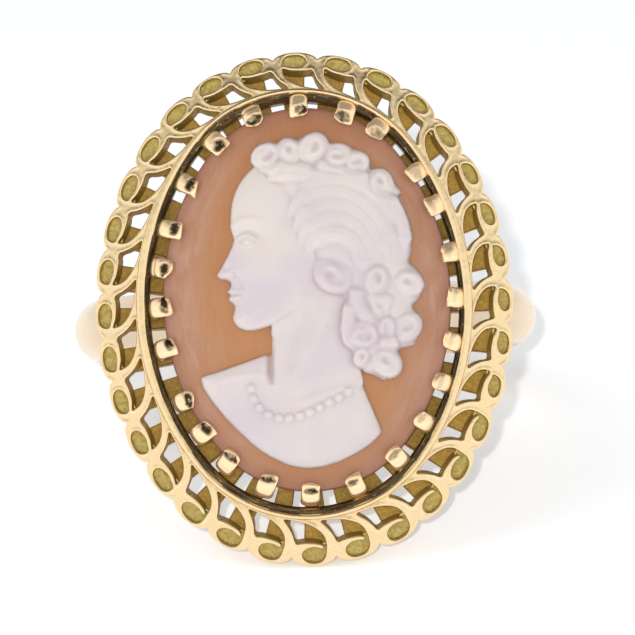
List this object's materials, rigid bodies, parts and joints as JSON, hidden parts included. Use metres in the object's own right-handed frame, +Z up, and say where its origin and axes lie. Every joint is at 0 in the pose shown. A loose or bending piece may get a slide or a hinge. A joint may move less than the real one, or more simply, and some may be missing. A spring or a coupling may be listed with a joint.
{
  "type": "cameo ring",
  "caption": "Oval shell cameo held by folded claws in a pierced scroll-bordered gold head on a plain half-round finger hoop.",
  "frame": {"origin": "centre of the finger hole, midway along the hoop's width; the ring lies on its side as it rests on a table", "axes": "+Z up; the head faces -Y and a little up; +X to the viewer's right; the finger hole's axis leans 23.7 degrees from +Z towards +Y"},
  "size_m": [0.02, 0.0251, 0.02],
  "materials": {
    "gold": "warm yellow gold, polished on the upper faces and satin inside the piercing",
    "shell": "carved shell, orange-brown ground with white relief, softly polished"
  },
  "bodies": {
    "root": {"ring_mount": "gold", "cameo": "shell"}
  },
  "joints": []
}
